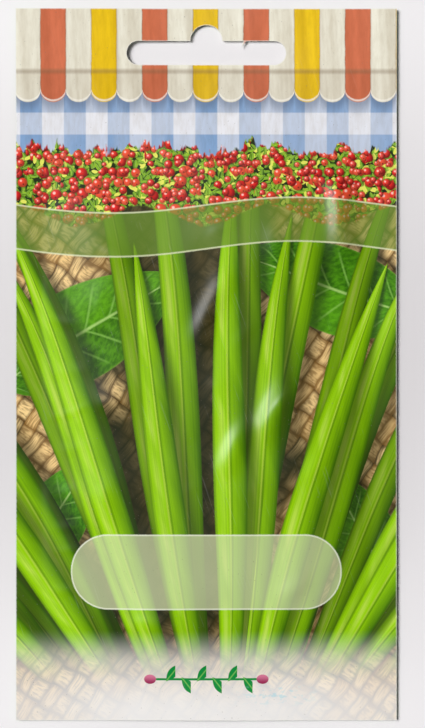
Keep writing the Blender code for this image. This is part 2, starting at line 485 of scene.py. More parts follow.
def broad_leaf_group():
    """Heart-shaped leaf with a midrib and side veins, printed over what is below it."""
    group = Group(
        "broad_leaf",
        ("Across", "Along", "Root Across", "Root Along", "Lean", "Length", "Half Width", "Tone", "Cover"),
        ("Below",),
    )
    given = group.inputs
    across = given["Across"] - given["Root Across"]
    along = given["Along"] - given["Root Along"]
    sine, cosine = given["Lean"].sine(), given["Lean"].cosine()
    forward = (across * sine + along * cosine) / given["Length"]
    sideways = across * cosine - along * sine
    kept = forward.at_least(0.0).at_most(1.0)
    outline = ((kept ** 0.62) * (kept.inverse() ** 0.85)) * 1.75
    off = (sideways + (forward * 5.0).sine() * 0.35) / (given["Half Width"] * outline).at_least(0.02)
    span = forward.ramp(0.0, 0.01) * forward.ramp(1.0, 0.99)
    shadow = abs(off - 0.12).ramp(1.3, 0.9) * span
    rank = forward * 7.5 - (abs(off) ** 0.8) * 1.35
    vein = abs(rank.fraction() - 0.5).ramp(0.09, 0.0) * abs(off).ramp(1.0, 0.5)
    swell = (rank * math.tau).cosine() * abs(off).ramp(1.05, 0.3)
    blotch = streaks(forward * 6.0 + off * 2.0 + given["Tone"] * 23.0, 3.0)
    pucker_place = vector(forward * 34.0 + off * 5.0, off * 9.0 + given["Tone"] * 7.0)
    puckers = noise(pucker_place, 1.0, 2.0, 0.6).ramp(0.3, 0.7, -0.08, 0.26)
    lit = off.ramp(0.12, -0.12, 0.22, 0.52) + swell * 0.10 + blotch * 0.25 + puckers
    colour = mix(lit, ink(24, 72, 2), ink(100, 166, 26))
    colour = mix(given["Tone"] * 0.5, colour, ink(150, 205, 60), "SOFT_LIGHT")
    colour = mix(vein * 0.5, colour, ink(150, 206, 92))
    colour = mix(bell(off, 0.05) * 0.8, colour, ink(176, 216, 120))
    colour = mix(abs(off).ramp(0.93, 1.0, 0.0, 0.5), colour, ink(140, 190, 70))
    inside = abs(off).ramp(1.0, 0.96) * span
    print_over(group, inside, colour, shadow * 0.6)
    return group.close()


def woven_straw_group():
    """Basket weave of straw strands, each rounded, and dark where it dips under the next."""
    group = Group("woven_straw", ("Across", "Along", "Turn", "Strand"))
    given = group.inputs
    sine, cosine = given["Turn"].sine(), given["Turn"].cosine()
    wobble = noise(vector(given["Across"], given["Along"]), 0.09, 2.0) * 3.0
    first = (given["Across"] * cosine - given["Along"] * sine + wobble) / given["Strand"]
    second = (given["Across"] * sine + given["Along"] * cosine + wobble) / given["Strand"] * 0.55
    crossing = (first.floor() + second.floor()).odd()
    lie_first, lie_second = first.fraction() - 0.5, second.fraction() - 0.5
    over = mix(crossing, vector(lie_first, lie_second), vector(lie_second, lie_first))
    width_place, length_place, _ = parts_of(over)
    number = noise(vector(first.floor() * 3.7, second.floor() * 5.3), 1.0, 0.0)
    straws = noise(vector(width_place * 9.0 + number * 40.0, length_place * 1.5), 1.0, 2.0)
    light = abs(width_place).ramp(0.52, 0.22, 0.08, 1.0) * abs(length_place).ramp(0.54, 0.26, 0.30, 1.0)
    light = light * straws.ramp(0.30, 0.66, 0.42, 1.12)
    colour = mix(light, ink(70, 44, 10), ink(250, 216, 150))
    group.give("Colour", mix(number.ramp(0.3, 0.7, 0.0, 0.35), colour, ink(198, 144, 66)))
    return group.close()


def berry_layer_group():
    """Scattered round berries, each shaded as a ball with a pale gloss and a dark tip."""
    group = Group("berry_layer", ("Across", "Along", "Spacing", "Size", "Shift", "Share"), ("Below", "Berry"))
    given = group.inputs
    x = given["Across"] / given["Spacing"] + given["Shift"]
    y = given["Along"] / given["Spacing"] - given["Shift"]
    away_x, away_y, (chance_x, chance_y, chance_z) = scatter(x, y, 0.85)
    size = given["Size"] * (chance_z * 0.4 + 0.75)
    away_x, away_y = away_x / size, away_y / size
    distance = length_of(away_x, away_y)
    gloss = length_of(away_x + 0.34, away_y - 0.36)
    tip = length_of(away_x - chance_x * 0.9 + 0.4, away_y + 0.35)
    present = chance_y.ramp(given["Share"] - 0.01, given["Share"] + 0.01, 1.0, 0.0)
    berry = mix(gloss.ramp(0.15, 1.35), given["Berry"], ink(122, 8, 10))
    berry = mix(chance_x.ramp(0.3, 0.9, 0.0, 0.45), berry, ink(252, 112, 66))
    berry = mix(tip.ramp(0.20, 0.12, 0.0, 0.8), berry, ink(70, 20, 14))
    berry = mix(gloss.ramp(0.34, 0.10, 0.0, 0.85), berry, ink(255, 214, 204))
    darkened = mix(present * distance.ramp(1.45, 0.8, 0.0, 0.6), given["Below"], ink(26, 30, 14))
    group.give("Colour", mix(distance.ramp(1.0, 0.88) * present, darkened, berry))
    return group.close()


def small_leaves_group():
    """Dense small foliage: short turned leaves over dark gaps."""
    group = Group("small_leaves", ("Across", "Along", "Spacing", "Shift"), ("Below",))
    given = group.inputs
    x = given["Across"] / given["Spacing"] + given["Shift"]
    y = given["Along"] / given["Spacing"] + given["Shift"]
    away_x, away_y, (chance_x, chance_y, chance_z) = scatter(x, y, 1.0)
    turn = chance_x * math.tau
    length_place = away_x * turn.cosine() + away_y * turn.sine()
    width_place = away_y * turn.cosine() - away_x * turn.sine()
    slim = (length_place / 0.62).apply("POWER", 2.0) + (width_place / 0.30).apply("POWER", 2.0)
    lit = (width_place * 2.4 + 0.5) * 0.7 + chance_y * 0.45
    leaf = mix(lit, ink(28, 84, 14), ink(150, 196, 44))
    leaf = mix(chance_z.ramp(0.74, 0.8), leaf, ink(232, 232, 96))
    leaf = mix(bell(width_place, 0.05) * 0.5, leaf, ink(190, 220, 120))
    group.give("Colour", mix(slim.ramp(1.0, 0.75), given["Below"], leaf))
    return group.close()


def sprig_group():
    """Small sprig: leaves to both sides of a level twig with a bud at each end."""
    group = Group("sprig", ("Across", "Along"), ("Below",))
    given = group.inputs
    across, along = given["Across"], given["Along"]
    pair = across / SPRIG_STEP
    upper = pair.floor().odd()
    near = (pair.fraction() - 0.5) * SPRIG_STEP
    outward = along * (upper * 2.0 - 1.0)
    forward = (near * math.sin(SPRIG_LEAN) + outward * math.cos(SPRIG_LEAN)) / SPRIG_LEAF_LENGTH + 0.12
    sideways = near * math.cos(SPRIG_LEAN) - outward * math.sin(SPRIG_LEAN)
    width = (forward.at_least(0.0).at_most(1.0) * math.pi).sine() * SPRIG_LEAF_HALF_WIDTH
    leaf = (abs(sideways) - width).ramp(0.05, -0.05) * abs(across).ramp(SPRIG_REACH, SPRIG_REACH - 0.02)
    twig = abs(along).ramp(0.26, 0.18) * abs(across).ramp(SPRIG_REACH + 1.4, SPRIG_REACH + 1.3)
    bud_across = abs(across) - SPRIG_REACH - 2.0
    bud = (bud_across * bud_across + along * along * 1.6).root().ramp(1.25, 1.15)
    green = mix(abs(sideways).ramp(0.0, 0.2), ink(120, 190, 90), ink(10, 138, 58))
    rose = mix(along.ramp(-0.8, 0.8), ink(150, 40, 82), ink(214, 120, 150))
    colour = mix(leaf.at_least(twig), given["Below"], green)
    group.give("Colour", mix(bud, colour, rose))
    return group.close()


def check_cloth_group():
    """Pale blue and white woven check, as on kitchen cloth."""
    group = Group("check_cloth", ("Across", "Along", "Square"))
    given = group.inputs
    first = given["Across"] / given["Square"]
    second = given["Along"] / given["Square"]
    band_first = abs((first * 0.5).fraction() - 0.5).ramp(0.235, 0.265)
    band_second = abs((second * 0.5).fraction() - 0.5).ramp(0.235, 0.265)
    threads = (given["Across"] * 21.0).sine() * (given["Along"] * 21.0).sine()
    fold = noise(vector(given["Across"] * 1.4, given["Along"] * 0.4), 0.09, 2.0)
    depth = (band_first + band_second) * 0.5
    colour = mix(depth, ink(240, 240, 244), ink(132, 166, 208))
    colour = mix(threads * 0.06 + 0.06, colour, ink(110, 140, 185))
    group.give("Colour", mix(fold.ramp(0.3, 0.7, 0.0, 0.22), colour, ink(206, 212, 226)))
    return group.close()


GROUPS = {
    "leaf_fan": leaf_fan_group(),
    "broad_leaf": broad_leaf_group(),
    "woven_straw": woven_straw_group(),
    "berry_layer": berry_layer_group(),
    "small_leaves": small_leaves_group(),
    "sprig": sprig_group(),
    "check_cloth": check_cloth_group(),
}


def paint(name, below=None, **values):
    """Colour after one motif is printed over what is below it."""
    if below is not None:
        values["Below"] = below
    return place_group(values["Across"].tree, GROUPS[name], **values)["Colour"]


# Layers of the front print


def print_awning(across, along):
    """Striped awning with a scalloped foot, hung over a check cloth."""
    colour = paint("check_cloth", Across=across, Along=along, Square=CHECK_SQUARE)
    weave = noise(vector(across * 2.2, along * 0.5), 0.5, 4.0, 0.65)
    stripe = (across + weave * 0.3) / STRIPE_WIDTH + 0.5
    lie = abs(stripe.fraction() - 0.5) * 2.0
    number = stripe.floor()
    coloured = mix((number * 0.5).odd(), ink(247, 206, 26), ink(219, 120, 84))
    cloth = mix(number.odd(), coloured, ink(242, 239, 222))
    drop = along - AWNING_FOOT + (lie * lie).inverse().at_least(0.0).root() * SCALLOP_DEPTH
    slack = streaks(across * 0.33 + along * 0.02, 2.0)
    cloth = mix(slack.ramp(0.3, 0.7, 0.0, 0.30), cloth, ink(168, 150, 120), "MULTIPLY")
    cloth = mix(lie.ramp(0.90, 1.0, 0.0, 0.35), cloth, ink(120, 92, 60))
    cloth = mix(bell(along - AWNING_FOLD, 0.8) * 0.45, cloth, ink(130, 104, 74))
    cloth = mix((along - AWNING_FOLD).ramp(0.4, -0.4, 0.0, 0.16), cloth, ink(150, 122, 90), "MULTIPLY")
    cloth = mix(bell(drop - 0.35, 0.35) * 0.7, cloth, ink(250, 246, 236))
    colour = mix(drop.ramp(-3.2, 0.0, 0.0, 0.5), colour, ink(70, 84, 110))
    colour = mix(drop.ramp(-0.06, 0.06), colour, cloth)
    return mix(weave.ramp(0.3, 0.75, 0.0, 0.20), colour, ink(190, 176, 150), "MULTIPLY")


def print_garland(below, across, along):
    """Garland of red berries in small foliage, hung in three swags, with ragged edges."""
    ragged = noise(vector(across, along * 0.3), 0.28, 3.0, 0.7)
    sag = (across * (math.pi / SWAG_LENGTH)).cosine() ** 2.0
    inside = (along - ragged * GARLAND_RAGGED + sag * 1.6).ramp(GARLAND_TOP, GARLAND_TOP - 0.6)
    inside = inside * (along + ragged * 1.6 + sag * GARLAND_SAG).ramp(GARLAND_FOOT, GARLAND_FOOT + 0.6)
    colour = ink(34, 46, 18)
    for spacing, shift in FOLIAGE_LAYERS:
        colour = paint("small_leaves", colour, Across=across, Along=along, Spacing=spacing, Shift=shift)
    thick = sag * 0.35 + ragged.ramp(0.3, 0.7, 0.65, 1.1)
    for berry, share, *values in BERRY_LAYERS:
        placed = dict(zip(("Spacing", "Size", "Shift"), values), Across=across, Along=along)
        colour = paint("berry_layer", colour, Berry=ink(*berry), Share=thick * share, **placed)
    return mix(inside, below, colour)


def pile_leaves(across, along, name, leaves):
    """Colour and cover of leaves printed one over the next, from the lowest up.

    Each leaf is a dictionary of the values that its group takes.
    """
    pile = {"Colour": ink(*LEAF_SHADOW), "Cover": 0.0}
    for leaf in leaves:
        leaf.update(Below=pile["Colour"], Cover=pile["Cover"], Across=across, Along=along)
        pile = place_group(across.tree, GROUPS[name], **leaf)
    return pile


def print_leaves(across, along):
    """Strap leaves fanned up from the foot over woven straw, with broad leaves at the sides."""
    labels = ("Spread", "Shift", "Reach", "Half_Width", "Light")
    fans = [dict(zip(labels, values)) for values in LEAF_FANS]
    labels = ("Root_Across", "Root_Along", "Lean", "Length", "Half_Width", "Tone")
    broads = [dict(zip(labels, (x, y, math.radians(lean), *rest))) for x, y, lean, *rest in BROAD_LEAVES]
    fan_pile = pile_leaves(across, along, "leaf_fan", fans)
    broad_pile = pile_leaves(across, along, "broad_leaf", broads)
    straw = paint("woven_straw", Across=across, Along=along, Turn=STRAW_TURN, Strand=STRAW_STRAND)
    cloud = noise(vector(across, along), 0.07, 2.0)
    gloom = (abs(across + 5.0) + cloud * 34.0).ramp(44.0, 28.0) * along.ramp(-62.0, -48.0, 0.15, 1.0)
    colour = mix(gloom * 0.93, straw, ink(38, 42, 12))
    colour = mix(broad_pile["Cover"], colour, broad_pile["Colour"])
    return mix(fan_pile["Cover"] * along.ramp(-65.0, -55.0), colour, fan_pile["Colour"])


def print_ribbon(below, across, along):
    """Bare see-through ribbon with a gentle wave and thin pale edges."""
    off = along - (across * 0.085).sine() * RIBBON_WAVE - RIBBON_MIDDLE
    inside = abs(off).ramp(RIBBON_HALF + 0.08, RIBBON_HALF - 0.08)
    colour = mix(inside * 0.7, below, ink(106, 140, 46))
    return mix(bell(abs(off) - RIBBON_HALF, 0.28) * 0.75, colour, ink(226, 232, 190))


def rounded_panel(across, along, half_width, half_height, corner):
    """Signed distance from the outline of a round-cornered panel, negative inside."""
    out_across = (abs(across) - (half_width - corner)).at_least(0.0)
    out_along = (abs(along) - (half_height - corner)).at_least(0.0)
    return length_of(out_across, out_along) - corner


def print_label(below, across, along):
    """Bare see-through label with rounded corners."""
    outline = rounded_panel(across, along - LABEL_MIDDLE, LABEL_HALF_WIDTH, LABEL_HALF_HEIGHT, LABEL_CORNER)
    colour = mix(outline.ramp(0.08, -0.08) * 0.52, below, ink(216, 226, 176))
    return mix(bell(outline, 0.25) * 0.7, colour, ink(244, 248, 226))


def print_foot(below, across, along):
    """White foot that the picture fades into, with a small sprig in its middle."""
    fade = along.ramp(FOOT_TOP, -60.5, 0.0, 0.55) + along.ramp(-58.0, -70.0, 0.0, 0.40)
    colour = mix(fade * abs(across).ramp(12.0, 38.0, 1.0, 0.76), below, ink(238, 237, 236))
    return paint("sprig", colour, Across=across, Along=along - SPRIG_ALONG)


# The front is printed in three stretches, each with a finish of its own


def draw_header(across, along):
    return print_garland(print_awning(across, along), across, along)


def draw_picture(across, along):
    colour = print_leaves(across, along)
    colour = print_garland(colour, across, along)
    colour = print_ribbon(colour, across, along)
    return print_label(colour, across, along)


def draw_foot(across, along):
    return print_foot(print_leaves(across, along), across, along)


# Surface effects that more than one material uses


def paper_surface_group():
    """Fine fibre relief, cloudy gloss and light scuffs of coated paper."""
    group = Group("paper_surface", ("Fibre", "Scuffs", "Roughness"))
    given = group.inputs
    place = object_place(group.tree)
    fibre = noise(place, 5200.0, 3.0, 0.6, "3D")
    cloud = noise(place, 130.0, 3.0, 0.55, "3D")
    across, along, _ = parts_of(place)
    long_scratch = noise(vector(across * 2600.0 + along * 900.0, along * 60.0), 1.0, 2.0)
    scuff = long_scratch.ramp(0.66, 0.74) * cloud.ramp(0.5, 0.62) * given["Scuffs"]
    group.give("Height", fibre * given["Fibre"] + cloud * 0.35, "NodeSocketFloat")
    group.give("Scuff", scuff, "NodeSocketFloat")
    roughness = given["Roughness"] + cloud.ramp(0.35, 0.65, -0.04, 0.06) + scuff * 0.25
    group.give("Roughness", roughness, "NodeSocketFloat")
    return group.close()


GROUPS["paper_surface"] = paper_surface_group()


def packet_coordinates(tree):
    """Place across and along the packet, in millimetres."""
    across, along, _ = parts_of(object_place(tree))
    return across / MM, along / MM


def bare_edge(across, along, slot=False):
    """Where the white paper shows past the print: a hair's breadth along the cut edges."""
    wobble = streaks((across + along) * 1.7) * 0.16
    inset = (abs(across) - HALF_WIDTH / MM).at_least(abs(along) - HALF_HEIGHT / MM)
    bare = (inset + wobble).ramp(-0.12, -0.02)
    if slot:
        up = along - SLOT_MIDDLE / MM
        bar = rounded_panel(across, up, SLOT_LENGTH / MM / 2, SLOT_WIDTH / MM / 2, SLOT_WIDTH / MM / 2)
        rise = up - SLOT_WIDTH / MM / 2
        bump = length_of(across, rise) - SLOT_BUMP_RADIUS / MM
        bare = bare.at_least((bar.at_most(bump) - wobble).ramp(0.12, 0.02))
    return bare


def new_finish(name, **constants):
    """Material with its constant values set on the shader's own sockets."""
    material = bpy.data.materials.new(name)
    material.use_nodes = True
    shader = material.node_tree.nodes["Principled BSDF"]
    for label, value in constants.items():
        shader.inputs[label.replace("_", " ")].default_value = value
    return material, material.node_tree, shader


def dress(shader, colour, roughness, height, distance, strength):
    """Gives a shader its colour, its roughness and the relief of its surface."""
    feed(shader.inputs["Base Color"], colour)
    feed(shader.inputs["Roughness"], roughness)
    bump = colour.tree.nodes.new("ShaderNodeBump")
    bump.inputs["Distance"].default_value = distance
    bump.inputs["Strength"].default_value = strength
    feed(bump.inputs["Height"], height)
    feed(shader.inputs["Normal"], Field(colour.tree, bump.outputs["Normal"]))


def front_print_finish(name, draw, slot=False):
    material, tree, shader = new_finish(name, Coat_Roughness=0.36, Specular_IOR_Level=0.04)
    across, along = packet_coordinates(tree)
    feed(shader.inputs["Coat Weight"], across.ramp(-22.0, -2.0, COAT_LEFT, COAT_RIGHT))
    colour = draw(across, along)
    surface = place_group(tree, GROUPS["paper_surface"], Fibre=0.3, Scuffs=0.12, Roughness=0.5)
    smudge = noise(vector(across * 0.9, along * 1.6), 0.7, 3.0, 0.6).ramp(0.52, 0.68)
    smudge = smudge * bell(across - SMUDGE_ACROSS, 11.0) * bell(along - SMUDGE_ALONG, 2.8)
    colour = mix(smudge * 0.6, colour, ink(164, 214, 226))
    specks = noise(vector(across, along), 2.4, 1.0).ramp(0.80, 0.84)
    colour = mix(specks * 0.6, colour, ink(120, 112, 104))
    colour = mix(surface["Scuff"] * 0.35, colour, ink(240, 240, 236))
    colour = mix(bare_edge(across, along, slot) * 0.4, colour, ink(240, 240, 232))
    dress(shader, colour, surface["Roughness"], surface["Height"], 0.02 * MM, 0.5)
    return material


def back_print_finish():
    """Pale back with a green border, a twelve-month bar, bare ruled rows and two bare panels."""
    material, tree, shader = new_finish(
        "back_satin_print", Coat_Weight=0.12, Coat_Roughness=0.22, Specular_IOR_Level=0.2
    )
    across, along = packet_coordinates(tree)
    green = ink(92, 160, 60)
    edge = abs(across).at_least(abs(along) - (HALF_HEIGHT - HALF_WIDTH) / MM)
    colour = mix(edge.ramp(BACK_BORDER - 0.1, BACK_BORDER + 0.1), ink(240, 243, 228), green)
    colour = mix(bell(edge - BACK_LINE, 0.25) * 0.9, colour, ink(120, 176, 80))
    month = across / MONTH_STEP
    cell_across = (month.fraction() - 0.5) * MONTH_STEP
    cell = rounded_panel(
        cell_across, along - MONTHS_ALONG, MONTH_HALF_WIDTH, MONTH_HALF_HEIGHT, MONTH_CORNER
    )
    sown = (month.floor() + 1.5).ramp(-0.1, 0.1) * (month.floor() - 1.5).ramp(0.1, -0.1)
    filled = mix(sown, ink(206, 224, 176), ink(232, 146, 60))
    bar = cell.ramp(0.06, -0.06) * abs(across).ramp(6 * MONTH_STEP, 6 * MONTH_STEP - 0.02)
    colour = mix(bar, colour, filled)
    row = along / ROW_STEP
    length = dice(row.floor() + 3.0) * 13.0 + 12.0
    rows = abs(row.fraction() - 0.5).ramp(0.13, 0.08)
    rows = rows * abs(along).ramp(ROWS_HALF_HEIGHT, ROWS_HALF_HEIGHT - 0.1)
    block = rows * (across - ROWS_LEFT).ramp(0.0, 0.1) * (across - length).ramp(0.1, 0.0)
    colour = mix(block * 0.5, colour, ink(146, 170, 128))
    panels = rounded_panel(
        abs(across) - PANEL_ACROSS, along - PANEL_ALONG, PANEL_HALF_WIDTH, PANEL_HALF_HEIGHT, PANEL_CORNER
    )
    colour = mix(panels.ramp(0.06, -0.06), colour, ink(218, 232, 194))
    colour = mix(bell(panels, 0.3) * 0.9, colour, green)
    colour = paint("sprig", colour, Across=across, Along=along - BACK_SPRIG_ALONG)
    surface = place_group(tree, GROUPS["paper_surface"], Fibre=0.6, Scuffs=0.5, Roughness=0.45)
    colour = mix(surface["Scuff"] * 0.3, colour, ink(180, 178, 166))
    colour = mix(bare_edge(across, along) * 0.6, colour, ink(240, 240, 232))
    dress(shader, colour, surface["Roughness"], surface["Height"], 0.02 * MM, 0.5)
    return material


def paper_core_finish():
    """Uncoated white fibre of the cut edges and the sheets' inner faces."""
    material, tree, shader = new_finish("white_paper_core")
    surface = place_group(tree, GROUPS["paper_surface"], Fibre=1.0, Scuffs=0.0, Roughness=0.82)
    across, along = packet_coordinates(tree)
    fibres = noise(vector(across * 3.0, along * 9.0), 1.0, 3.0)
    colour = mix(fibres, ink(250, 249, 246), ink(226, 224, 216))
    dress(shader, colour, surface["Roughness"], surface["Height"], 0.03 * MM, 0.6)
    return material


def seed_coat_finish():
    """Dry bean coat: cream with faint mottling and a pale hilum in a brown rim."""
    material, tree, shader = new_finish("bean_seed_coat", Coat_Weight=0.2, Coat_Roughness=0.3)
    place = object_place(tree)
    mottle = noise(place, 420.0, 4.0, 0.6, "3D")
    fleck = noise(place, 1500.0, 2.0, 0.6, "3D")
    scar = tree.nodes.new("ShaderNodeAttribute")
    scar.attribute_name = "hilum"
    hilum = Field(tree, scar.outputs["Fac"])
    colour = mix(mottle, ink(236, 220, 184), ink(206, 176, 128))
    colour = mix(fleck.ramp(0.58, 0.7, 0.0, 0.35), colour, ink(150, 112, 70))
    colour = mix(hilum.ramp(0.25, 0.5), colour, ink(120, 78, 44))
    colour = mix(hilum.ramp(0.6, 0.8), colour, ink(244, 238, 222))
    dress(shader, colour, mottle.ramp(0.3, 0.7, 0.28, 0.42), mottle, 0.05 * MM, 0.3)
    return material


# Shape of the sheets


def smooth_step(value):
    clamped = np.clip(value, 0.0, 1.0)
    return clamped * clamped * (3.0 - 2.0 * clamped)


def depth_in_pouch(x, y):
    """How far a point lies inside the sealed border, negative on the seal."""
    half_width = HALF_WIDTH - SIDE_SEAL
    middle = (BOTTOM_SEAL - HEADER) / 2
    half_height = HALF_HEIGHT - (BOTTOM_SEAL + HEADER) / 2
    across = np.abs(x) - (half_width - POUCH_CORNER)
    along = np.abs(y - middle) - (half_height - POUCH_CORNER)
    outside = np.hypot(np.maximum(across, 0.0), np.maximum(along, 0.0))
    return POUCH_CORNER - outside - np.minimum(np.maximum(across, along), 0.0)


def tree_of(names):
    """Ray-casting tree of some CAD nodes."""
    shape = bmesh.new()
    for name in names:
        shape.from_mesh(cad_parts[name].data)
    made = BVHTree.FromBMesh(shape)
    shape.free()
    return made


def heights_of(tree, x, y, upwards, missing):
    """Height of the first face met at each point, from above or, upwards, from below."""
    start, way = (UNDER_ALL, Vector((0, 0, 1))) if upwards else (OVER_ALL, Vector((0, 0, -1)))
    found = np.full(x.shape, np.nan)
    for index in np.ndindex(x.shape):
        hit = tree.ray_cast(Vector((x[index], y[index], start)), way)[0]
        if hit is not None:
            found[index] = hit.z
    return np.where(np.isnan(found), missing, found)


def mean_of_neighbours(height):
    padded = np.pad(height, 1, mode="edge")
    return (padded[2:, 1:-1] + padded[:-2, 1:-1] + padded[1:-1, 2:] + padded[1:-1, :-2]) / 4


def grid_of(cell):
    columns = round(2 * HALF_WIDTH / cell)
    rows = round(2 * HALF_HEIGHT / cell)
    x = np.linspace(-HALF_WIDTH, HALF_WIDTH, columns + 1)
    y = np.linspace(-HALF_HEIGHT, HALF_HEIGHT, rows + 1)
    return np.meshgrid(x, y, indexing="ij")


def cockle(x, y, number, height, shortest=5.0, longest=26.0):
    """Slight waviness of laminated paper: a few waves of random direction and length."""
    draw = random.Random(number)
    total = np.zeros_like(x)
    for _ in range(WAVES):
        wavelength = draw.uniform(shortest, longest) * MM
        angle = draw.uniform(0.0, math.tau)
        phase = draw.uniform(0.0, math.tau)
        total += np.sin((x * math.cos(angle) + y * math.sin(angle)) * math.tau / wavelength + phase)
    return total * height / WAVES


def crease(x, y, middle_x, middle_y, angle, length, width, height):
    """One soft ridge with nearly straight flanks, highest in its middle."""
    dx, dy = x - middle_x * MM, y - middle_y * MM
    along = dx * math.cos(angle) + dy * math.sin(angle)
    across = dy * math.cos(angle) - dx * math.sin(angle)
    bent = across + 0.08 * along * np.sin(along / (length * MM) * 2.2 + middle_x)
    fade = np.maximum(0.0, 1.0 - np.abs(along / (length * MM)) ** 3) ** 1.5
    return height * MM * fade * np.maximum(0.0, 1.0 - np.abs(bent / (width * MM))) ** 1.25


def tension_folds(x, y):
    """Small folds that run in from the seals, where the full pouch draws the border."""
    draw = random.Random(FOLD_RANDOM)
    total = np.zeros_like(x)
    for side in (-1, 1):
        for number in range(SIDE_FOLDS):
            along = SIDE_FOLD_FIRST + number * SIDE_FOLD_STEP + draw.uniform(-2.4, 2.4)
            angle = draw.uniform(-0.35, 0.35)
            length = draw.uniform(3.5, 8.0)
            height = draw.uniform(0.05, 0.17)
            width = draw.uniform(1.2, 2.0)
            total += crease(x, y, side * SIDE_FOLD_ACROSS, along, angle, length, width, height)
    for number in range(END_FOLDS):
        for along, reach in END_FOLD_ROWS:
            across = END_FOLD_FIRST + number * END_FOLD_STEP + draw.uniform(-2.0, 2.0)
            angle = math.pi / 2 + draw.uniform(-0.3, 0.3)
            length = draw.uniform(0.5, 1.0) * reach
            width = draw.uniform(1.2, 2.0)
            height = draw.uniform(0.05, 0.16)
            total += crease(x, y, across, along, angle, length, width, height)
    return total


def front_heights(x, y):
    """Inner face of the front sheet: drawn over the seeds, stiff, folded and slightly wavy."""
    cell = x[1, 0] - x[0, 0]
    seeds = [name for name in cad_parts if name.startswith("bean_seed")]
    inner_at_seal = seal_height() + SEAL_GAP_CLOSED / 2
    obstacle = heights_of(tree_of(seeds), x, y, False, 0.0) + SEED_CLEARANCE
    start = heights_of(tree_of(["front_panel"]), x, y, False, inner_at_seal + SHEET) - SHEET
    held = depth_in_pouch(x, y) <= 0.0
    height = np.where(held, inner_at_seal, start)
    for _ in range(DRAPE_STEPS):
        relaxed = mean_of_neighbours(height) - DRAPE_SAG * cell * cell / 4
        height = np.where(held, inner_at_seal, np.maximum(relaxed, obstacle))
    for _ in range(STIFFNESS_ROUNDS):
        for _ in range(STIFFNESS_PASSES):
            height = np.where(held, inner_at_seal, mean_of_neighbours(height))
        height = np.maximum(height, obstacle)
    height = mean_of_neighbours(mean_of_neighbours(height))
    pouch = smooth_step(depth_in_pouch(x, y) / POUCH_WAVE_FADE)
    height += pouch * (tension_folds(x, y) + cockle(x, y, *POUCH_WAVE))
    folds = sum(crease(x, y, *values) for values in CREASES)
    for _ in range(CREASE_PASSES):
        folds = mean_of_neighbours(folds)
    return height + folds + shared_wave(x, y)


def shared_wave(x, y):
    """Waviness that both sheets share where they are sealed, with a slower wave along the border."""
    depth = depth_in_pouch(x, y)
    fine = (1.0 - smooth_step(depth / FINE_WAVE_FADE)) * cockle(x, y, *FINE_WAVE)
    slow = (1.0 - smooth_step(depth / SLOW_WAVE_FADE)) * cockle(x, y, *SLOW_WAVE)
    return fine + slow


def seal_height():
    """Mid-plane of the sealed border over the surface."""
    probe_x = np.array([[0.0]])
    probe_y = np.array([[HALF_HEIGHT - HEADER + SEAL_PROBE]])
    back = heights_of(tree_of(["back_panel"]), probe_x, probe_y, True, 0.0)
    return float(back[0, 0]) + SHEET + SEAL_GAP_CLOSED / 2


def back_heights(x, y):
    """Outer face of the back sheet, as on its solid, with the border's waviness."""
    seal_outer = seal_height() - SEAL_GAP_CLOSED / 2 - SHEET
    lie = heights_of(tree_of(["back_panel"]), x, y, True, seal_outer)
    for _ in range(BACK_PASSES):
        lie = np.minimum(mean_of_neighbours(lie), lie + BACK_EASE)
    sloped = smooth_step(lie / BACK_FLAT_FADE)
    return np.maximum(lie + shared_wave(x, y) * sloped, 0.0)


def slot_cutter(name):
    """Closed solid of the hanging slot: a round-ended bar and a round bump, with a whisker left in."""
    shape = bmesh.new()
    end = SLOT_WIDTH / 2
    straight = SLOT_LENGTH / 2 - end
    top = SLOT_MIDDLE + end
    points = []
    for middle_x, first_half_turn in ((-straight, 0.5), (straight, -0.5)):
        for step in range(SLOT_ARC_STEPS + 1):
            angle = math.pi * (first_half_turn + step / SLOT_ARC_STEPS)
            points.append((middle_x + end * math.cos(angle), SLOT_MIDDLE + end * math.sin(angle)))
    points.extend((x * MM, top + y * MM) for x, y in WHISKER)
    for step in range(SLOT_ARC_STEPS + 1):
        angle = math.pi * step / SLOT_ARC_STEPS
        points.append((SLOT_BUMP_RADIUS * math.cos(angle), top + SLOT_BUMP_RADIUS * math.sin(angle)))
    ring = [shape.verts.new((x, y, CUTTER_FOOT)) for x, y in points]
    shape.faces.new(ring)
    pushed = bmesh.ops.extrude_face_region(shape, geom=shape.faces[:])
    moved = [item for item in pushed["geom"] if isinstance(item, bmesh.types.BMVert)]
    bmesh.ops.translate(shape, verts=moved, vec=(0, 0, CUTTER_DEPTH))
    bmesh.ops.recalc_face_normals(shape, faces=shape.faces)
    return finished_object(name, shape)


def finished_object(name, shape, materials=()):
    mesh = bpy.data.meshes.new(name)
    shape.to_mesh(mesh)
    shape.free()
    for material in materials:
        mesh.materials.append(material)
    made = bpy.data.objects.new(name, mesh)
    bpy.context.scene.collection.objects.link(made)
    return made


def applied(thing):
    """The object with its modifiers turned into mesh."""
    bpy.context.view_layer.update()
    graph = bpy.context.evaluated_depsgraph_get()
    mesh = bpy.data.meshes.new_from_object(thing.evaluated_get(graph))
    old = thing.data
    thing.modifiers.clear()
    thing.data = mesh
    mesh.name = thing.name
    bpy.data.meshes.remove(old)
    return thing


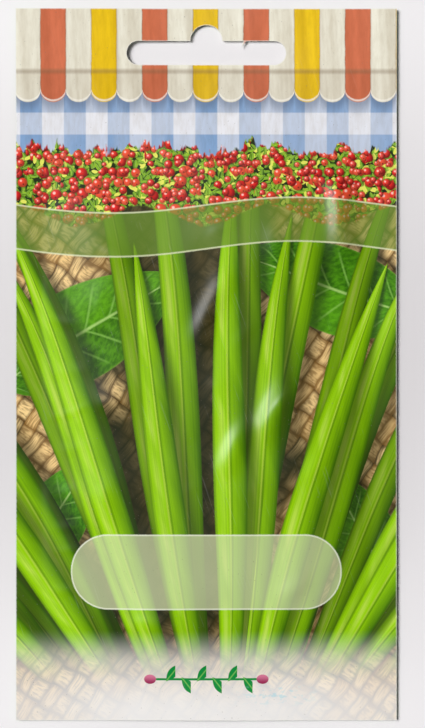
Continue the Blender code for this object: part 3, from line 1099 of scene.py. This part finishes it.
def make_sheet(name, cell, heights, printed_up, finishes, core_finish, cutter):
    """Thin sheet from its lower face's heights, with the slot cut and its cut edges left white.

    The finishes are pairs of the place along the packet where one starts and the finish.
    """
    x, y = grid_of(cell)
    columns, rows = x.shape[0] - 1, x.shape[1] - 1
    lower = heights(x, y)
    shape = bmesh.new()
    bmesh.ops.create_grid(shape, x_segments=columns, y_segments=rows, size=1.0)
    for vertex in shape.verts:
        column = round((vertex.co.x + 1) / 2 * columns)
        row = round((vertex.co.y + 1) / 2 * rows)
        vertex.co = (x[column, row], y[column, row], lower[column, row])
    starts = [start for start, _ in finishes]
    sheet = finished_object(name, shape, [finish for _, finish in finishes] + [core_finish])
    wall = sheet.modifiers.new("paper", "SOLIDIFY")
    wall.thickness = SHEET
    wall.offset = 1.0
    cut = sheet.modifiers.new("slot", "BOOLEAN")
    cut.operation = "DIFFERENCE"
    cut.solver = "MANIFOLD"
    cut.object = cutter
    applied(sheet)
    for face in sheet.data.polygons:
        facing = face.normal.z if printed_up else -face.normal.z
        zone = sum(face.center.y > start * MM for start in starts) - 1
        face.material_index = zone if facing > PRINTED_FACING else len(finishes)
    sheet.data.shade_smooth()
    sheet.data.set_sharp_from_angle(angle=SHARP_EDGE)
    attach(sheet, "root")
    return sheet


def make_seed(name, coat):
    """Finer bean than its solid, with a weight for the hilum on its hollow side."""
    shape = bmesh.new()
    shape.from_mesh(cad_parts[name].data)
    bmesh.ops.remove_doubles(shape, verts=shape.verts, dist=WELD)
    points = np.array([vertex.co for vertex in shape.verts])
    middle = points.mean(axis=0)
    long_way = np.linalg.svd(points - middle)[2][0]
    ends = points[np.argsort((points - middle) @ long_way)[[0, -1]]].mean(axis=0)
    hollow_way = ends - middle
    hollow_way = hollow_way / np.linalg.norm(hollow_way)
    seed = finished_object(name + "_bean", shape, (coat,))
    rounding = seed.modifiers.new("rounding", "SUBSURF")
    rounding.levels = rounding.render_levels = SEED_ROUNDING
    applied(seed)
    mark = seed.data.attributes.new("hilum", "FLOAT", "POINT")
    for number, vertex in enumerate(seed.data.vertices):
        offset = np.array(vertex.co) - middle
        along = float(offset @ long_way) / HILUM_HALF_LENGTH
        facing = float(np.array(vertex.normal) @ hollow_way)
        mark.data[number].value = max(0.0, 1.0 - along * along) * max(0.0, facing) ** 6
    seed.data.shade_smooth()
    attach(seed, "root")
    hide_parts(name)
    return seed


# Stage, light and camera


def make_stage():
    """Pale bed, with painted shade that darkens it close round the packet."""
    shape = bmesh.new()
    bmesh.ops.create_grid(shape, x_segments=8, y_segments=8, size=BED_HALF_SIZE)
    bmesh.ops.translate(shape, verts=shape.verts, vec=(0, 0, -BED_DROP))
    material, tree, shader = new_finish("pale_bed_with_painted_shade", Roughness=0.6)
    place = object_place(tree)
    cloud = noise(place, 14.0, 3.0, 0.5, "3D")
    across, along, _ = parts_of(place)
    away = length_of(across, along) / MM + cloud * 24.0 - 12.0
    # Painted shade: the bed's colour is darker close round the packet and fades to the pale tone further out
    colour = mix(away.ramp(34.0, 84.0), ink(214, 211, 213), ink(238, 236, 238))
    feed(shader.inputs["Base Color"], colour)
    floor = finished_object("bed", shape, (material,))


def add_light(kind, name, place, energy, colour):
    """Light that points from its place at the packet's middle."""
    lamp = bpy.data.lights.new(name, kind)
    lamp.energy = energy
    lamp.color = colour
    holder = bpy.data.objects.new(name, lamp)
    holder.location = place
    holder.rotation_euler = Vector(place).to_track_quat("Z", "Y").to_euler()
    bpy.context.scene.collection.objects.link(holder)
    return holder


def make_lights():
    """Soft room light, light from the left for the shadows, and a small panel for the glints alone."""
    world = bpy.data.worlds.new("soft_room")
    world.use_nodes = True
    background = world.node_tree.nodes["Background"]
    background.inputs["Color"].default_value = (1.0, 1.0, 1.0, 1.0)
    background.inputs["Strength"].default_value = ROOM_LIGHT
    bpy.context.scene.world = world
    key = add_light("SUN", "left_light", KEY_PLACE, KEY_LIGHT, (1.0, 0.99, 0.985))
    key.data.angle = KEY_ANGLE
    key.visible_glossy = False
    glint = add_light("AREA", "glint_panel", GLINT_PLACE, GLINT_LIGHT, (1.0, 1.0, 1.0))
    glint.data.shape = "RECTANGLE"
    glint.data.size, glint.data.size_y = GLINT_SIZE
    glint.visible_diffuse = False
    bpy.context.scene.view_settings.view_transform = "Standard"
    bpy.context.scene.view_settings.look = "None"


def make_camera():
    """Straight down, with the packet where it lies in the photo's frame."""
    lens = bpy.data.cameras.new("scan_view")
    lens.lens = LENS_MM
    lens.sensor_width = SENSOR_MM
    lens.clip_start, lens.clip_end = 0.01, 10.0
    distance = PHOTO_HEIGHT_PX * PIXEL / SENSOR_MM * LENS_MM + seal_height() + SHEET
    camera = bpy.data.objects.new("scan_view", lens)
    camera.location = (
        (PHOTO_WIDTH_PX / 2 - PACKET_MIDDLE_PX[0]) * PIXEL,
        (PACKET_MIDDLE_PX[1] - PHOTO_HEIGHT_PX / 2) * PIXEL,
        distance,
    )
    bpy.context.scene.collection.objects.link(camera)
    bpy.context.scene.camera = camera


make_camera()
make_lights()
make_stage()
core = paper_core_finish()
cutter = slot_cutter("slot_cutter")
front_finishes = [
    (-math.inf, front_print_finish("front_foot_print", draw_foot)),
    (FOOT_TOP, front_print_finish("front_picture_print", draw_picture)),
    (HEADER_FOOT, front_print_finish("front_header_print", draw_header, True)),
]
front = make_sheet("packet_front", FRONT_CELL, front_heights, True, front_finishes, core, cutter)
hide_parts("front_panel")
back_finishes = [(-math.inf, back_print_finish())]
back = make_sheet("packet_back", BACK_CELL, back_heights, False, back_finishes, core, cutter)
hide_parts("back_panel")
bpy.data.objects.remove(cutter)
coat = seed_coat_finish()
for node_name in sorted(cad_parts):
    if node_name.startswith("bean_seed"):
        make_seed(node_name, coat)
